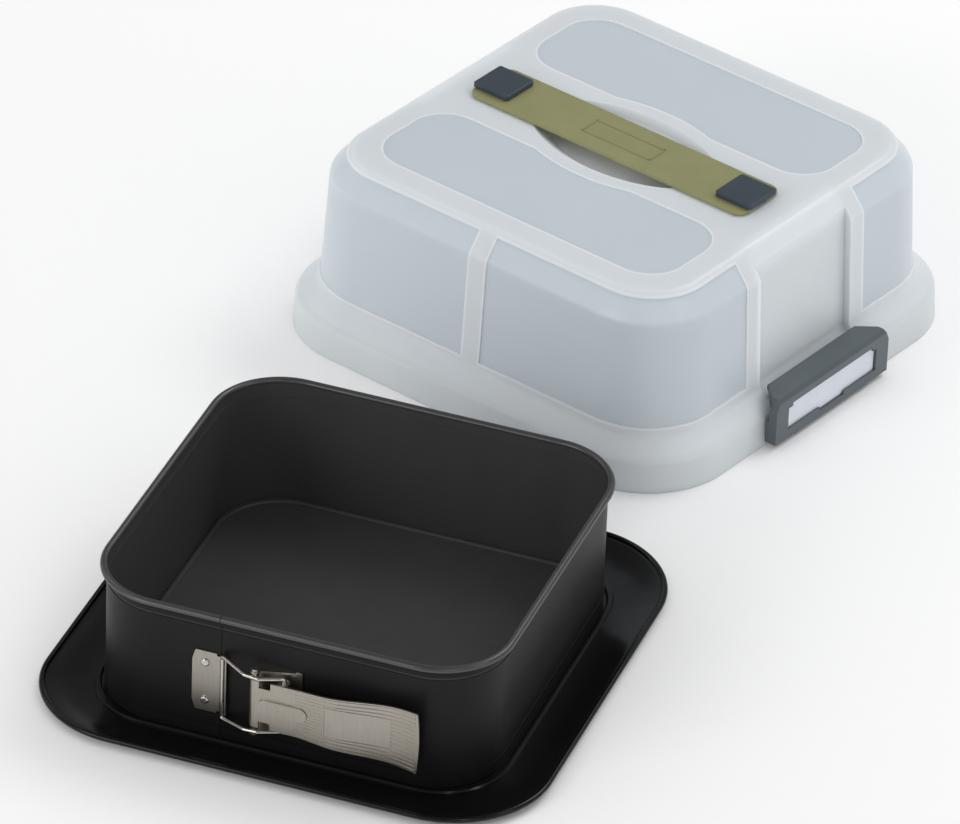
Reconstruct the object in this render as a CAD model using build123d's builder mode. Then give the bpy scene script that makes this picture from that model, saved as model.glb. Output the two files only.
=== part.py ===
"""Square springform pan on its tray base, with a carrying cover that stands beside it.

Millimetres, +Z up. The origin is the centre of the tray's flat underside.
"""

from build123d import *
from math import cos, radians, sin
import os

os.makedirs("parts", exist_ok=True)

# Tray base
SHEET = 1.0
TRAY_HALF = 153.2
TRAY_CORNER = 60.0
TRAY_RIM_Z = 5.4
TRAY_RIM_RADIUS = 1.8
FLOOR_HALF = 137.0
FLOOR_CORNER = 48.0
INNER_BEAD_HALF = 117.6
OUTER_BEAD_HALF = 124.6
BEAD_WIDTH = 3.4
BEAD_HEIGHT = 1.6

# Spring hoop
HOOP_INNER = 120.0
HOOP_SHEET = 0.8
HOOP_CORNER = 40.0
HOOP_BOTTOM = 1.4
HOOP_TOP = 83.6
RIM_RADIUS = 2.3
GROOVE_Z = 76.0
FOOT_RIDGE_Z = 8.0
SEAM_X = -36.6
SEAM_GAP = 0.4
OVERLAP = 48.0
LAYER_GAP = 0.15
TONGUE_LOW = 3.2

# Over-centre clasp on the hoop's front wall
WALL_Y = -(HOOP_INNER + HOOP_SHEET)
CLASP_Z = 38.5
PLATE_SHEET = 1.0
WIRE_RADIUS = 1.3
HOOK_X = -35.0
HOOK_RADIUS = 1.75
HOOK_Y = WALL_Y - PLATE_SHEET - HOOK_RADIUS
FULCRUM_X = -13.0
FULCRUM_Y = -129.0
PIN_RADIUS = 1.5
BAIL_PIVOT_X = 4.0
BAIL_PIVOT_Y = -127.0
BRACKET_SHEET = 1.2
BRACKET_HALF = 21.4
LEVER_SHEET = 1.2
LEVER_HALF = 16.0
LEVER_END_X = 88.0
LEVER_END_HALF = 20.5
RUNNING_GAP = 0.05

# Cover, drawn about its own centre, then set down behind the pan and turned
COVER_X = 20.0
COVER_Y = 390.0
COVER_TURN = -18.5
COVER_WALL = 2.2
COVER_TOP = 122.0
CHANNEL_HALF = 45.0
CHANNEL_DEPTH = 5.0
SIDE_RIB = 13.0
MIDDLE_RIB_HALF = 7.0
PANEL_DEPTH = 0.9
PANEL_BOTTOM = 36.0
PANEL_TOP = 118.5
TROUGH_LENGTH = 65.0
TROUGH_WIDTH = 36.0
TROUGH_DEPTH = 8.5
COVER_LEVELS = [
    (0.0, 158.0, 60.0),
    (18.6, 156.6, 58.2),
    (20.6, 155.4, 57.2),
    (29.0, 146.0, 51.0),
    (32.0, 144.4, 50.0),
    (104.5, 140.6, 47.0),
    (107.5, 139.4, 46.0),
    (PANEL_TOP, 130.5, 38.0),
    (121.0, 127.8, 35.4),
    (COVER_TOP, 125.5, 33.0),
]
LEDGE_Z = 22.0

# Side latches of the cover
LATCH_PIVOT_X = 150.5
LATCH_PIVOT_Z = 28.6
LATCH_PIN_RADIUS = 1.5
LATCH_HALF = 56.0
LATCH_TOP_HALF = 43.0
LATCH_TOP_Z = 34.0
LATCH_FACE_X = 166.5
LUG_Y = 32.0
LUG_THICKNESS = 3.4
LUG_RADIUS = 2.9
LUG_CLEARANCE = 0.3
CARD_HALF = 44.0
CARD_LOW = 7.0
CARD_HIGH = 27.0
CARD_DEPTH = 2.4

# Carrying strap on the cover
STRAP_HALF = 105.7
STRAP_WIDTH = 40.0
STRAP_SHEET = 2.4
STRAP_LIFT = 0.3
STEM_X = 93.5
STEM_SIZE = 8.0
SLOT_WIDTH = 9.4
CAP_SIZE = 27.0
CAP_THICKNESS = 3.2

cover_place = Location((COVER_X, COVER_Y, 0), (0, 0, COVER_TURN))


def finish(piece, name):
    """Label a finished piece and write its STEP file."""
    piece.label = name
    export_step(piece, f"parts/{name}.step")


def rounded_square_wire(half, corner, z):
    """Closed outline of a square with round corners at height z."""
    with BuildSketch(Plane.XY.offset(z), mode=Mode.PRIVATE) as outline:
        RectangleRounded(2 * half, 2 * half, corner)
    return outline.sketch.faces()[0].outer_wire()


def section_plane(path):
    """Plane square to the start of a path."""
    return Plane(origin=path @ 0, x_dir=(0, 0, 1), z_dir=path % 0)


def wall_band(outer_half, inner_half, low, high):
    """Band that follows the hoop's wall between two heights."""
    with BuildPart() as band:
        with BuildSketch(Plane.XY.offset(low)):
            for half, mode in ((outer_half, Mode.ADD), (inner_half, Mode.SUBTRACT)):
                RectangleRounded(2 * half, 2 * half, HOOP_CORNER + half - HOOP_INNER, mode=mode)
        extrude(amount=high - low)
    return band.part


def flared_square(half_low, corner_low, z_low, half_high, corner_high, z_high):
    """Ruled solid between two squares with round corners."""
    with BuildPart() as flare:
        with BuildSketch(Plane.XY.offset(z_low)):
            RectangleRounded(2 * half_low, 2 * half_low, corner_low)
        with BuildSketch(Plane.XY.offset(z_high)):
            RectangleRounded(2 * half_high, 2 * half_high, corner_high)
        loft(ruled=True)
    return flare.part


def bead_ring(half, corner):
    """Pressed bead with sloped flanks that runs round the tray's floor."""
    with BuildPart() as bead:
        with BuildSketch(Plane.XY.offset(SHEET / 2)):
            RectangleRounded(2 * half + BEAD_WIDTH, 2 * half + BEAD_WIDTH, corner)
            RectangleRounded(
                2 * half - BEAD_WIDTH, 2 * half - BEAD_WIDTH, corner, mode=Mode.SUBTRACT
            )
        extrude(amount=SHEET / 2 + BEAD_HEIGHT)
        chamfer(bead.faces().sort_by(Axis.Z)[-1].edges(), BEAD_HEIGHT * 0.6)
    return bead.part


# The tray: a flat floor, two locating beads, a dished flange and a rolled rim
with BuildPart() as base_plate:
    with BuildSketch():
        RectangleRounded(2 * FLOOR_HALF, 2 * FLOOR_HALF, FLOOR_CORNER)
    extrude(amount=SHEET)
    flange = flared_square(FLOOR_HALF, FLOOR_CORNER, 0, TRAY_HALF, TRAY_CORNER, TRAY_RIM_Z)
    flange -= flared_square(
        FLOOR_HALF - SHEET / 2, FLOOR_CORNER, SHEET, TRAY_HALF - SHEET / 2, TRAY_CORNER, TRAY_RIM_Z + SHEET
    )
    add(flange)
    add(bead_ring(INNER_BEAD_HALF, HOOP_CORNER - 1.0))
    add(bead_ring(OUTER_BEAD_HALF, HOOP_CORNER + 3.0))
    rim_path = rounded_square_wire(TRAY_HALF, TRAY_CORNER, TRAY_RIM_Z)
    with BuildSketch(section_plane(rim_path)):
        Circle(TRAY_RIM_RADIUS)
    sweep(path=rim_path)
finish(base_plate.part, "base_plate")

# The hoop: one strip of sheet whose front ends overlap, with a rolled rim and pressed grooves
with BuildPart() as hoop_shell:
    outside = HOOP_INNER + HOOP_SHEET
    add(wall_band(outside, HOOP_INNER, HOOP_BOTTOM, HOOP_TOP))
    add(wall_band(HOOP_INNER + 0.2, HOOP_INNER - 0.5, GROOVE_Z - 1.2, GROOVE_Z + 1.2))
    add(wall_band(outside + 0.1, outside - 0.4, GROOVE_Z - 0.8, GROOVE_Z + 0.8), mode=Mode.SUBTRACT)
    add(wall_band(outside + 0.7, outside - 0.4, FOOT_RIDGE_Z - 1.3, FOOT_RIDGE_Z + 1.3))
    bead_path = rounded_square_wire(HOOP_INNER + RIM_RADIUS, HOOP_CORNER + RIM_RADIUS, HOOP_TOP)
    with BuildSketch(section_plane(bead_path)):
        Circle(RIM_RADIUS)
    sweep(path=bead_path)
    with Locations((SEAM_X, WALL_Y - 2.5, (HOOP_TOP + RIM_RADIUS) / 2)):
        Box(SEAM_GAP, 6.6, HOOP_TOP + RIM_RADIUS + 4, mode=Mode.SUBTRACT)
    tongue_y = -HOOP_INNER + LAYER_GAP + HOOP_SHEET / 2
    tongue_height = GROOVE_Z - 3 - TONGUE_LOW
    tongue_middle = TONGUE_LOW + tongue_height / 2
    with Locations((SEAM_X - OVERLAP / 2 + 2, tongue_y, tongue_middle)):
        Box(OVERLAP + 4, HOOP_SHEET, tongue_height)
    with Locations((SEAM_X + 2.5, -HOOP_INNER, tongue_middle)):
        Box(3, HOOP_SHEET, tongue_height)
finish(hoop_shell.part, "hoop_shell")

# Catch plate: riveted by the hoop's outer end, its right edge curled into a hook for the bail
with BuildPart() as catch_plate:
    with BuildSketch(Plane.XY.offset(CLASP_Z - 20.5)):
        with BuildLine():
            inner_back = (HOOK_X, WALL_Y - PLATE_SHEET)
            Line((-54.0, WALL_Y), (HOOK_X, WALL_Y))
            CenterArc((HOOK_X, HOOK_Y), HOOK_RADIUS + PLATE_SHEET, 90, -105)
            hook_tip = Vector(HOOK_X, HOOK_Y)
            lip = Vector(cos(radians(-15)), sin(radians(-15)))
            Line(hook_tip + lip * (HOOK_RADIUS + PLATE_SHEET), hook_tip + lip * HOOK_RADIUS)
            CenterArc((HOOK_X, HOOK_Y), HOOK_RADIUS, -15, 105)
            Line(inner_back, (-54.0, WALL_Y - PLATE_SHEET))
            Line((-54.0, WALL_Y - PLATE_SHEET), (-54.0, WALL_Y))
        make_face()
    extrude(amount=41)
    with BuildSketch(Plane.XZ.offset(-WALL_Y - 1)) as plate_outline:
        with BuildLine():
            ThreePointArc((-52.0, CLASP_Z - 20.5), (-55.5, CLASP_Z), (-52.0, CLASP_Z + 20.5))
            Polyline(
                (-52.0, CLASP_Z + 20.5), (-39.0, CLASP_Z + 20.5), (-39.0, CLASP_Z + 19),
                (-30.0, CLASP_Z + 19), (-30.0, CLASP_Z - 19), (-39.0, CLASP_Z - 19),
                (-39.0, CLASP_Z - 20.5), (-52.0, CLASP_Z - 20.5),
            )
        make_face()
    extrude(amount=10, mode=Mode.INTERSECT)
finish(catch_plate.part, "catch_plate")

# Two domed rivets hold the catch plate
with BuildPart() as catch_rivets:
    for rivet_z in (CLASP_Z - 13, CLASP_Z + 13):
        with BuildSketch(Plane.XZ.offset(-WALL_Y + PLATE_SHEET)):
            with Locations((-46.0, rivet_z)):
                Circle(2.6)
        extrude(amount=1.3)
    fillet(catch_rivets.faces().group_by(Axis.Y)[0].edges(), 1.1)
finish(catch_rivets.part, "catch_rivets")

# Bracket: a channel on the right-hand end whose two ears carry the fulcrum pin
with BuildPart() as clasp_bracket:
    with BuildSketch(Plane.XZ.offset(-WALL_Y)):
        with Locations((0.0, CLASP_Z)):
            RectangleRounded(26, 2 * BRACKET_HALF, 1.5)
    extrude(amount=BRACKET_SHEET)
    for side in (-1, 1):
        ear_low = CLASP_Z + side * BRACKET_HALF - (BRACKET_SHEET if side > 0 else 0)
        with BuildSketch(Plane.XY.offset(ear_low)):
            with BuildLine():
                Polyline((9.0, WALL_Y), (-13.0, WALL_Y), (-16.0, -124.0), (-16.0, FULCRUM_Y))
                ThreePointArc(
                    (-16.0, FULCRUM_Y), (FULCRUM_X, FULCRUM_Y - 3.0), (FULCRUM_X + 3.0, FULCRUM_Y)
                )
                Polyline((FULCRUM_X + 3.0, FULCRUM_Y), (9.0, -123.5), (9.0, WALL_Y))
            make_face()
            with Locations((FULCRUM_X, FULCRUM_Y)):
                Circle(PIN_RADIUS + RUNNING_GAP, mode=Mode.SUBTRACT)
        extrude(amount=BRACKET_SHEET)
finish(clasp_bracket.part, "clasp_bracket")

# Two flush rivets fasten the bracket, under the lever
with BuildPart() as bracket_rivets:
    for rivet_x in (-6.0, 6.0):
        with BuildSketch(Plane.XZ.offset(-WALL_Y + BRACKET_SHEET)):
            with Locations((rivet_x, CLASP_Z)):
                Circle(2.2)
        extrude(amount=0.7)
finish(bracket_rivets.part, "bracket_rivets")

# The fulcrum pin runs through both ears and the lever's knuckle
with BuildPart() as fulcrum_pin:
    with BuildSketch(Plane.XY.offset(CLASP_Z - BRACKET_HALF - 1.2)):
        with Locations((FULCRUM_X, FULCRUM_Y)):
            Circle(PIN_RADIUS)
    extrude(amount=2 * BRACKET_HALF + 2.4)
    for head_z in (CLASP_Z - BRACKET_HALF - 1.2, CLASP_Z + BRACKET_HALF + 0.1):
        with BuildSketch(Plane.XY.offset(head_z)):
            with Locations((FULCRUM_X, FULCRUM_Y)):
                Circle(PIN_RADIUS + 0.7)
        extrude(amount=1.1)
finish(fulcrum_pin.part, "fulcrum_pin")

# Points of the lever's bowed handle, seen from above
KNUCKLE_RADIUS = PIN_RADIUS + RUNNING_GAP + LEVER_SHEET
LEVER_Y = FULCRUM_Y - KNUCKLE_RADIUS
HANDLE_START_X = 11.0
HANDLE_BOW = ((HANDLE_START_X, 0.0), (34.0, -1.6), (70.0, 1.8), (LEVER_END_X, -1.2))
HANDLE_TANGENTS = [(1, 0), (0.97, -0.24)]
RIB_HEIGHT = 0.35
RIB_WIDTH = 0.9
RIB_STEPS = 7
RIB_START_X = 13.0
FIELD_X = 50.0
FIELD_LENGTH = 40.0
FIELD_HEIGHT = 21.0
FRAME_WIDTH = 0.9


def handle_curve(rise):
    """Points of the bowed handle, the given distance in from its outer side."""
    return [(x, LEVER_Y + bow + rise) for x, bow in HANDLE_BOW]


def lever_ribs():
    """Fine ribs that fan out along the handle, interrupted by a plain framed field."""
    with BuildPart() as ribs:
        with BuildSketch(Plane.XY.offset(CLASP_Z - LEVER_END_HALF)):
            with BuildLine():
                crest = Spline(*handle_curve(-RIB_HEIGHT), tangents=HANDLE_TANGENTS)
                root = Spline(*handle_curve(RIB_HEIGHT), tangents=HANDLE_TANGENTS)
                Line(crest @ 0, root @ 0)
                Line(crest @ 1, root @ 1)
            make_face()
        extrude(amount=2 * LEVER_END_HALF)
        with BuildSketch(Plane.XZ.offset(-LEVER_Y - 8)):
            for step in range(-RIB_STEPS, RIB_STEPS + 1):
                share = step / (RIB_STEPS + 0.6)
                near_z = CLASP_Z + share * LEVER_HALF
                far_z = CLASP_Z + share * LEVER_END_HALF
                with BuildLine():
                    Polyline(
                        (RIB_START_X, near_z - RIB_WIDTH / 2), (LEVER_END_X - 3, far_z - RIB_WIDTH / 2),
                        (LEVER_END_X - 3, far_z + RIB_WIDTH / 2), (RIB_START_X, near_z + RIB_WIDTH / 2),
                        (RIB_START_X, near_z - RIB_WIDTH / 2),
                    )
                make_face()
            with Locations((FIELD_X, CLASP_Z)):
                Rectangle(FIELD_LENGTH, FIELD_HEIGHT, mode=Mode.SUBTRACT)
                Rectangle(FIELD_LENGTH, FIELD_HEIGHT)
                Rectangle(
                    FIELD_LENGTH - 2 * FRAME_WIDTH, FIELD_HEIGHT - 2 * FRAME_WIDTH, mode=Mode.SUBTRACT
                )
        extrude(amount=16, mode=Mode.INTERSECT)
    return ribs.part


# The lever: knuckle, flat body with two folded ears, then the flaring ribbed handle
with BuildPart() as clasp_lever:
    with BuildSketch(Plane.XY.offset(CLASP_Z - LEVER_HALF)):
        with Locations((FULCRUM_X, FULCRUM_Y)):
            Circle(KNUCKLE_RADIUS)
        with Locations(((FULCRUM_X + HANDLE_START_X) / 2, LEVER_Y + LEVER_SHEET / 2)):
            Rectangle(HANDLE_START_X - FULCRUM_X, LEVER_SHEET)
        with Locations((FULCRUM_X, FULCRUM_Y)):
            Circle(PIN_RADIUS + RUNNING_GAP, mode=Mode.SUBTRACT)
    extrude(amount=2 * LEVER_HALF)
    with BuildSketch(Plane.XY.offset(CLASP_Z - LEVER_END_HALF)):
        with BuildLine():
            outer = Spline(*handle_curve(0), tangents=HANDLE_TANGENTS)
            inner = Spline(*handle_curve(LEVER_SHEET), tangents=HANDLE_TANGENTS)
            Line(outer @ 0, inner @ 0)
            Line(outer @ 1, inner @ 1)
        make_face()
    extrude(amount=2 * LEVER_END_HALF)
    with BuildSketch(Plane.XZ.offset(-LEVER_Y - 8)):
        with BuildLine():
            Polyline(
                (FULCRUM_X - 4, CLASP_Z + LEVER_HALF), (14.0, CLASP_Z + LEVER_HALF),
                (LEVER_END_X - 1.5, CLASP_Z + LEVER_END_HALF),
            )
            ThreePointArc(
                (LEVER_END_X - 1.5, CLASP_Z + LEVER_END_HALF), (LEVER_END_X, CLASP_Z),
                (LEVER_END_X - 1.5, CLASP_Z - LEVER_END_HALF),
            )
            Polyline(
                (LEVER_END_X - 1.5, CLASP_Z - LEVER_END_HALF), (14.0, CLASP_Z - LEVER_HALF),
                (FULCRUM_X - 4, CLASP_Z - LEVER_HALF), (FULCRUM_X - 4, CLASP_Z + LEVER_HALF),
            )
        make_face()
    extrude(amount=16, mode=Mode.INTERSECT)
    for side in (-1, 1):
        ear_low = CLASP_Z + side * LEVER_HALF - (LEVER_SHEET if side > 0 else 0)
        with BuildSketch(Plane.XY.offset(ear_low)):
            with Locations((BAIL_PIVOT_X, (LEVER_Y + BAIL_PIVOT_Y) / 2 + 0.1)):
                Rectangle(6.6, BAIL_PIVOT_Y - LEVER_Y - 0.2)
            with Locations((BAIL_PIVOT_X, BAIL_PIVOT_Y)):
                Circle(3.3)
                Circle(WIRE_RADIUS + RUNNING_GAP, mode=Mode.SUBTRACT)
        extrude(amount=LEVER_SHEET)
        with Locations((-6.0, LEVER_Y, CLASP_Z + side * LEVER_HALF)):
            Box(7.0, 4.0, 9.0, mode=Mode.SUBTRACT)
    with BuildSketch(Plane.XZ.offset(-LEVER_Y - 0.6)):
        with Locations((5.0, CLASP_Z)):
            SlotOverall(30.0, 9.0)
    extrude(amount=1.9)
    add(lever_ribs())
finish(clasp_lever.part, "clasp_lever")

# The bail: one wire loop, hooked into the lever's ears and lying in the catch hook
ARM_END_HALF = LEVER_HALF + 2.4
ARM_HOOK_HALF = 21.5
with BuildPart() as bail_wire:
    with BuildLine() as bail_path:
        FilletPolyline(
            (BAIL_PIVOT_X, BAIL_PIVOT_Y, CLASP_Z + LEVER_HALF - 3.2),
            (BAIL_PIVOT_X, BAIL_PIVOT_Y, CLASP_Z + ARM_END_HALF),
            (FULCRUM_X + 3.5, FULCRUM_Y - 3.7, CLASP_Z + ARM_END_HALF),
            (FULCRUM_X - 5.0, FULCRUM_Y - 3.4, CLASP_Z + ARM_END_HALF + 0.5),
            (HOOK_X, HOOK_Y, CLASP_Z + ARM_HOOK_HALF),
            (HOOK_X, HOOK_Y, CLASP_Z - ARM_HOOK_HALF),
            (FULCRUM_X - 5.0, FULCRUM_Y - 3.4, CLASP_Z - ARM_END_HALF - 0.5),
            (FULCRUM_X + 3.5, FULCRUM_Y - 3.7, CLASP_Z - ARM_END_HALF),
            (BAIL_PIVOT_X, BAIL_PIVOT_Y, CLASP_Z - ARM_END_HALF),
            (BAIL_PIVOT_X, BAIL_PIVOT_Y, CLASP_Z - LEVER_HALF + 3.2),
            radius=1.7,
        )
    with BuildSketch(Plane(origin=bail_path.wire() @ 0, z_dir=bail_path.wire() % 0)):
        Circle(WIRE_RADIUS)
    sweep(path=bail_path.wire())
finish(bail_wire.part, "bail_wire")


def cover_block(inset, top=COVER_TOP):
    """Solid of the cover's outer form, drawn in by the given amount."""
    with BuildPart() as block:
        for z, half, corner in COVER_LEVELS:
            with BuildSketch(Plane.XY.offset(z - (COVER_TOP - top) * (z > 0))):
                RectangleRounded(2 * (half - inset), 2 * (half - inset), corner - inset)
        loft(ruled=True)
    return block.part


def side_slabs(half, low):
    """Slabs over the channel in the two short sides."""
    with BuildPart() as slabs:
        with Locations((130, 0, low + 60), (-130, 0, low + 60)):
            Box(80, 2 * half, 120)
    return slabs.part


def trough(grow):
    """Finger trough below the strap, grown outwards for the shell's inner side."""
    with BuildPart() as bowl:
        with BuildSketch(Plane.XY.offset(COVER_TOP + 0.1)):
            Ellipse(TROUGH_LENGTH + grow, TROUGH_WIDTH + grow)
        with BuildSketch(Plane.XY.offset(COVER_TOP - TROUGH_DEPTH - grow)):
            Ellipse(TROUGH_LENGTH - 14 + grow, TROUGH_WIDTH - 11 + grow)
        loft(ruled=True)
    return bowl.part


def panel_fields():
    """Blocks over the four wall panels, which run round the corners between the ribs."""
    height = PANEL_TOP - PANEL_BOTTOM
    rib_edge = CHANNEL_HALF + SIDE_RIB
    with BuildPart() as fields:
        with BuildSketch(Plane.XY.offset(PANEL_BOTTOM)):
            with GridLocations(2 * (MIDDLE_RIB_HALF + 80), 2 * (rib_edge + 55), 2, 2):
                Rectangle(160, 110)
        extrude(amount=height)
    return fields.part


# The cover: a thin moulded hood with framed panels, side channels and a finger trough
with BuildPart() as cover_shell:
    add(cover_block(0))
    add(panel_fields() - cover_block(PANEL_DEPTH), mode=Mode.SUBTRACT)
    add(side_slabs(CHANNEL_HALF, LEDGE_Z) - cover_block(CHANNEL_DEPTH), mode=Mode.SUBTRACT)
    with BuildSketch(Plane.XY.offset(COVER_TOP)):
        for side in (-1, 1):
            with Locations((0, side * 75)):
                RectangleRounded(222, 70, 24)
        Ellipse(TROUGH_LENGTH + 8, TROUGH_WIDTH + 10, mode=Mode.SUBTRACT)
    extrude(amount=-PANEL_DEPTH, mode=Mode.SUBTRACT)
    add(trough(0), mode=Mode.SUBTRACT)
    inner_top = COVER_TOP - COVER_WALL
    hollow = cover_block(COVER_WALL, inner_top)
    hollow -= side_slabs(CHANNEL_HALF + COVER_WALL, LEDGE_Z - COVER_WALL) - cover_block(
        CHANNEL_DEPTH + COVER_WALL, inner_top
    )
    hollow -= trough(COVER_WALL)
    add(hollow, mode=Mode.SUBTRACT)
    for side_x in (-1, 1):
        with Locations((side_x * 157, 0, 2.0)):
            Box(12, 2 * 38, 6.0, mode=Mode.SUBTRACT)
        for side_y in (-1, 1):
            with BuildSketch(Plane.XZ.offset(-side_y * LUG_Y - LUG_THICKNESS / 2)):
                with Locations((side_x * LATCH_PIVOT_X, LATCH_PIVOT_Z)):
                    Circle(LUG_RADIUS)
                with Locations((side_x * (LATCH_PIVOT_X + 0.4), (LEDGE_Z - 0.6 + LATCH_PIVOT_Z) / 2)):
                    Rectangle(2 * LUG_RADIUS - 0.8, LATCH_PIVOT_Z - LEDGE_Z + 0.6)
                with Locations((side_x * LATCH_PIVOT_X, LATCH_PIVOT_Z)):
                    Circle(LATCH_PIN_RADIUS + RUNNING_GAP, mode=Mode.SUBTRACT)
            extrude(amount=LUG_THICKNESS)
finish(cover_shell.part.moved(cover_place), "cover_shell")


def latch_piece(side_x):
    """Side latch: a block over the skirt with a label window, a hook lip and two hidden pivots."""
    x = side_x
    with BuildPart() as latch:
        with BuildSketch(Plane.XZ.offset(-LATCH_HALF)):
            with BuildLine():
                Polyline(
                    (x * 158.8, 3.4), (x * 158.8, 21.0), (x * 148.6, 30.4), (x * 148.6, 33.2),
                    (x * 149.4, LATCH_TOP_Z), (x * 164.6, LATCH_TOP_Z), (x * LATCH_FACE_X, 31.6),
                    (x * LATCH_FACE_X, 2.8), (x * (LATCH_FACE_X - 1.3), 1.5), (x * 152.2, 1.5),
                    (x * 152.2, 3.0), (x * 153.0, 3.4), (x * 158.8, 3.4),
                )
            make_face()
        extrude(amount=2 * LATCH_HALF)
        with BuildSketch(Plane.YZ.offset(x * 140)):
            with BuildLine():
                Polyline(
                    (-LATCH_HALF, 3.4), (-LATCH_HALF, 26.0), (-LATCH_HALF + 4.0, LATCH_TOP_Z + 1),
                    (LATCH_HALF - 4.0, LATCH_TOP_Z + 1), (LATCH_HALF, 26.0), (LATCH_HALF, 3.4),
                    (36.0, 3.4), (36.0, 0.0), (-36.0, 0.0), (-36.0, 3.4), (-LATCH_HALF, 3.4),
                )
            make_face()
        extrude(amount=x * 40, mode=Mode.INTERSECT)
        with BuildSketch(Plane.XY.offset(LEDGE_Z - 4)):
            for side_y in (-1, 1):
                with BuildLine():
                    Polyline(
                        (x * 140, side_y * LATCH_TOP_HALF), (x * 149.4, side_y * LATCH_TOP_HALF),
                        (x * 162.5, side_y * (LATCH_HALF - 2.0)), (x * 158.6, side_y * (LATCH_HALF + 2)),
                        (x * 140, side_y * (LATCH_HALF + 2)), (x * 140, side_y * LATCH_TOP_HALF),
                    )
                make_face()
        extrude(amount=20, mode=Mode.SUBTRACT)
        window_z = (CARD_LOW + CARD_HIGH) / 2
        with Locations((x * LATCH_FACE_X, 0, window_z)):
            Box(2 * CARD_DEPTH, 2 * CARD_HALF, CARD_HIGH - CARD_LOW, mode=Mode.SUBTRACT)
        for side_y in (-1, 1):
            with Locations((x * (LATCH_FACE_X - 0.6), side_y * 28, CARD_LOW + 1.2)):
                Box(1.2, 2 * (CARD_HALF - 28), 2.4)
            with Locations((x * (LATCH_FACE_X - 0.6), side_y * (CARD_HALF - 2), CARD_HIGH - 1.2)):
                Box(1.2, 4, 2.4)
            pivot = Location((x * LATCH_PIVOT_X, side_y * LUG_Y, LATCH_PIVOT_Z), (90, 0, 0))
            pocket_width = LUG_THICKNESS + 2 * LUG_CLEARANCE
            with Locations(pivot):
                Cylinder(LUG_RADIUS, pocket_width + 5)
            with Locations((x * (LATCH_PIVOT_X - 3.5), side_y * LUG_Y, LATCH_PIVOT_Z - 3)):
                Box(16, pocket_width, 13, mode=Mode.SUBTRACT)
            with Locations(pivot):
                Cylinder(LATCH_PIN_RADIUS, pocket_width + 3)
    return latch.part


for latch_name, card_name, latch_side in (
    ("latch_right", "label_card_right", 1),
    ("latch_left", "label_card_left", -1),
):
    finish(latch_piece(latch_side).moved(cover_place), latch_name)
    with BuildPart() as label_card:
        card_x = latch_side * (LATCH_FACE_X - CARD_DEPTH + 0.3)
        with Locations((card_x, 0, (CARD_LOW + CARD_HIGH) / 2)):
            Box(0.6, 2 * CARD_HALF - 1, CARD_HIGH - CARD_LOW - 0.6)
    finish(label_card.part.moved(cover_place), card_name)

# The strap: a flexible band with an open slot at each end
strap_low = COVER_TOP + STRAP_LIFT
with BuildPart() as handle_strap:
    with BuildSketch(Plane.XY.offset(strap_low)):
        RectangleRounded(2 * STRAP_HALF, STRAP_WIDTH, 7.0)
        for side in (-1, 1):
            with Locations((side * (STRAP_HALF + 2), 0)):
                Rectangle(2 * (STRAP_HALF + 2 - STEM_X + 7), SLOT_WIDTH, mode=Mode.SUBTRACT)
    extrude(amount=STRAP_SHEET)
    fillet(handle_strap.faces().sort_by(Axis.Z)[-1].edges(), 0.5)
finish(handle_strap.part.moved(cover_place), "handle_strap")

# Two square caps on stems hold the strap down and let its ends slide
for cap_name, side in (("strap_cap_right", 1), ("strap_cap_left", -1)):
    with BuildPart() as strap_cap:
        with BuildSketch(Plane.XY.offset(COVER_TOP)):
            with Locations((side * STEM_X, 0)):
                RectangleRounded(STEM_SIZE, STEM_SIZE, 1.5)
        extrude(amount=STRAP_SHEET + 1.0)
        with BuildSketch(Plane.XY.offset(COVER_TOP + STRAP_SHEET + 0.8)):
            with Locations((side * STEM_X, 0)):
                RectangleRounded(CAP_SIZE, CAP_SIZE, 2.0)
        extrude(amount=CAP_THICKNESS)
        fillet(strap_cap.faces().sort_by(Axis.Z)[-1].edges(), 0.8)
    finish(strap_cap.part.moved(cover_place), cap_name)
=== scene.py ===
# %% [markdown]
# # A springform pan and its carrying cover
# The pan is black coated sheet steel with a bright clasp. The cover is a hood of frosted plastic with a
# soft strap and two latches. The CAD frame gives every rigid piece its place, so nothing rigid is modelled
# again. This notebook adds the finishes, the light, smoother skins for the hood and the tray, and the
# strap, which bends and so can't stay one rigid solid.

# %% Load the frame
import math

import bpy
from mathutils import Matrix, Vector


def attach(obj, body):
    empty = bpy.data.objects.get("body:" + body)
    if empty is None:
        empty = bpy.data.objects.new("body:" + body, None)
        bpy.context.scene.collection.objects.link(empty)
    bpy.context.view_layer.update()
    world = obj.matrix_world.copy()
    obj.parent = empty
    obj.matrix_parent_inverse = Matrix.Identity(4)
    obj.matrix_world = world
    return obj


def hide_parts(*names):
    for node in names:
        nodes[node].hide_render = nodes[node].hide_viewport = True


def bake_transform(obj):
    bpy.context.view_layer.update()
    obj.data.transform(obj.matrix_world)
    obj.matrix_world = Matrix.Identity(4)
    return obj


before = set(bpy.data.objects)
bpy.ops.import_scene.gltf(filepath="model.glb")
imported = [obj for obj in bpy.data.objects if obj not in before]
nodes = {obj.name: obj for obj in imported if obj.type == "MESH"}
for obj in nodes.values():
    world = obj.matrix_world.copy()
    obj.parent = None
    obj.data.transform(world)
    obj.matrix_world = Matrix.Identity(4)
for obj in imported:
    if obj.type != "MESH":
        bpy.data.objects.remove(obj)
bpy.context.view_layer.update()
bpy.context.scene.view_settings.view_transform = "Standard"
print("CAD nodes:", len(nodes))

# %% [markdown]
# ## The camera
# The photograph joins two pictures: the pan was seen from a lower place than the cover. Two cameras can't
# share one floor, so a single camera looks from between the two heights, from the front and a little to
# the right. Its long lens keeps upright edges nearly parallel. It is placed by its turn round the pan, its
# height above the horizon and its distance, which are the numbers a photographer would note.

# %% Place the camera
AZIMUTH = math.radians(19.14)
ELEVATION = math.radians(33.56)
ROLL = math.radians(2.31)
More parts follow.
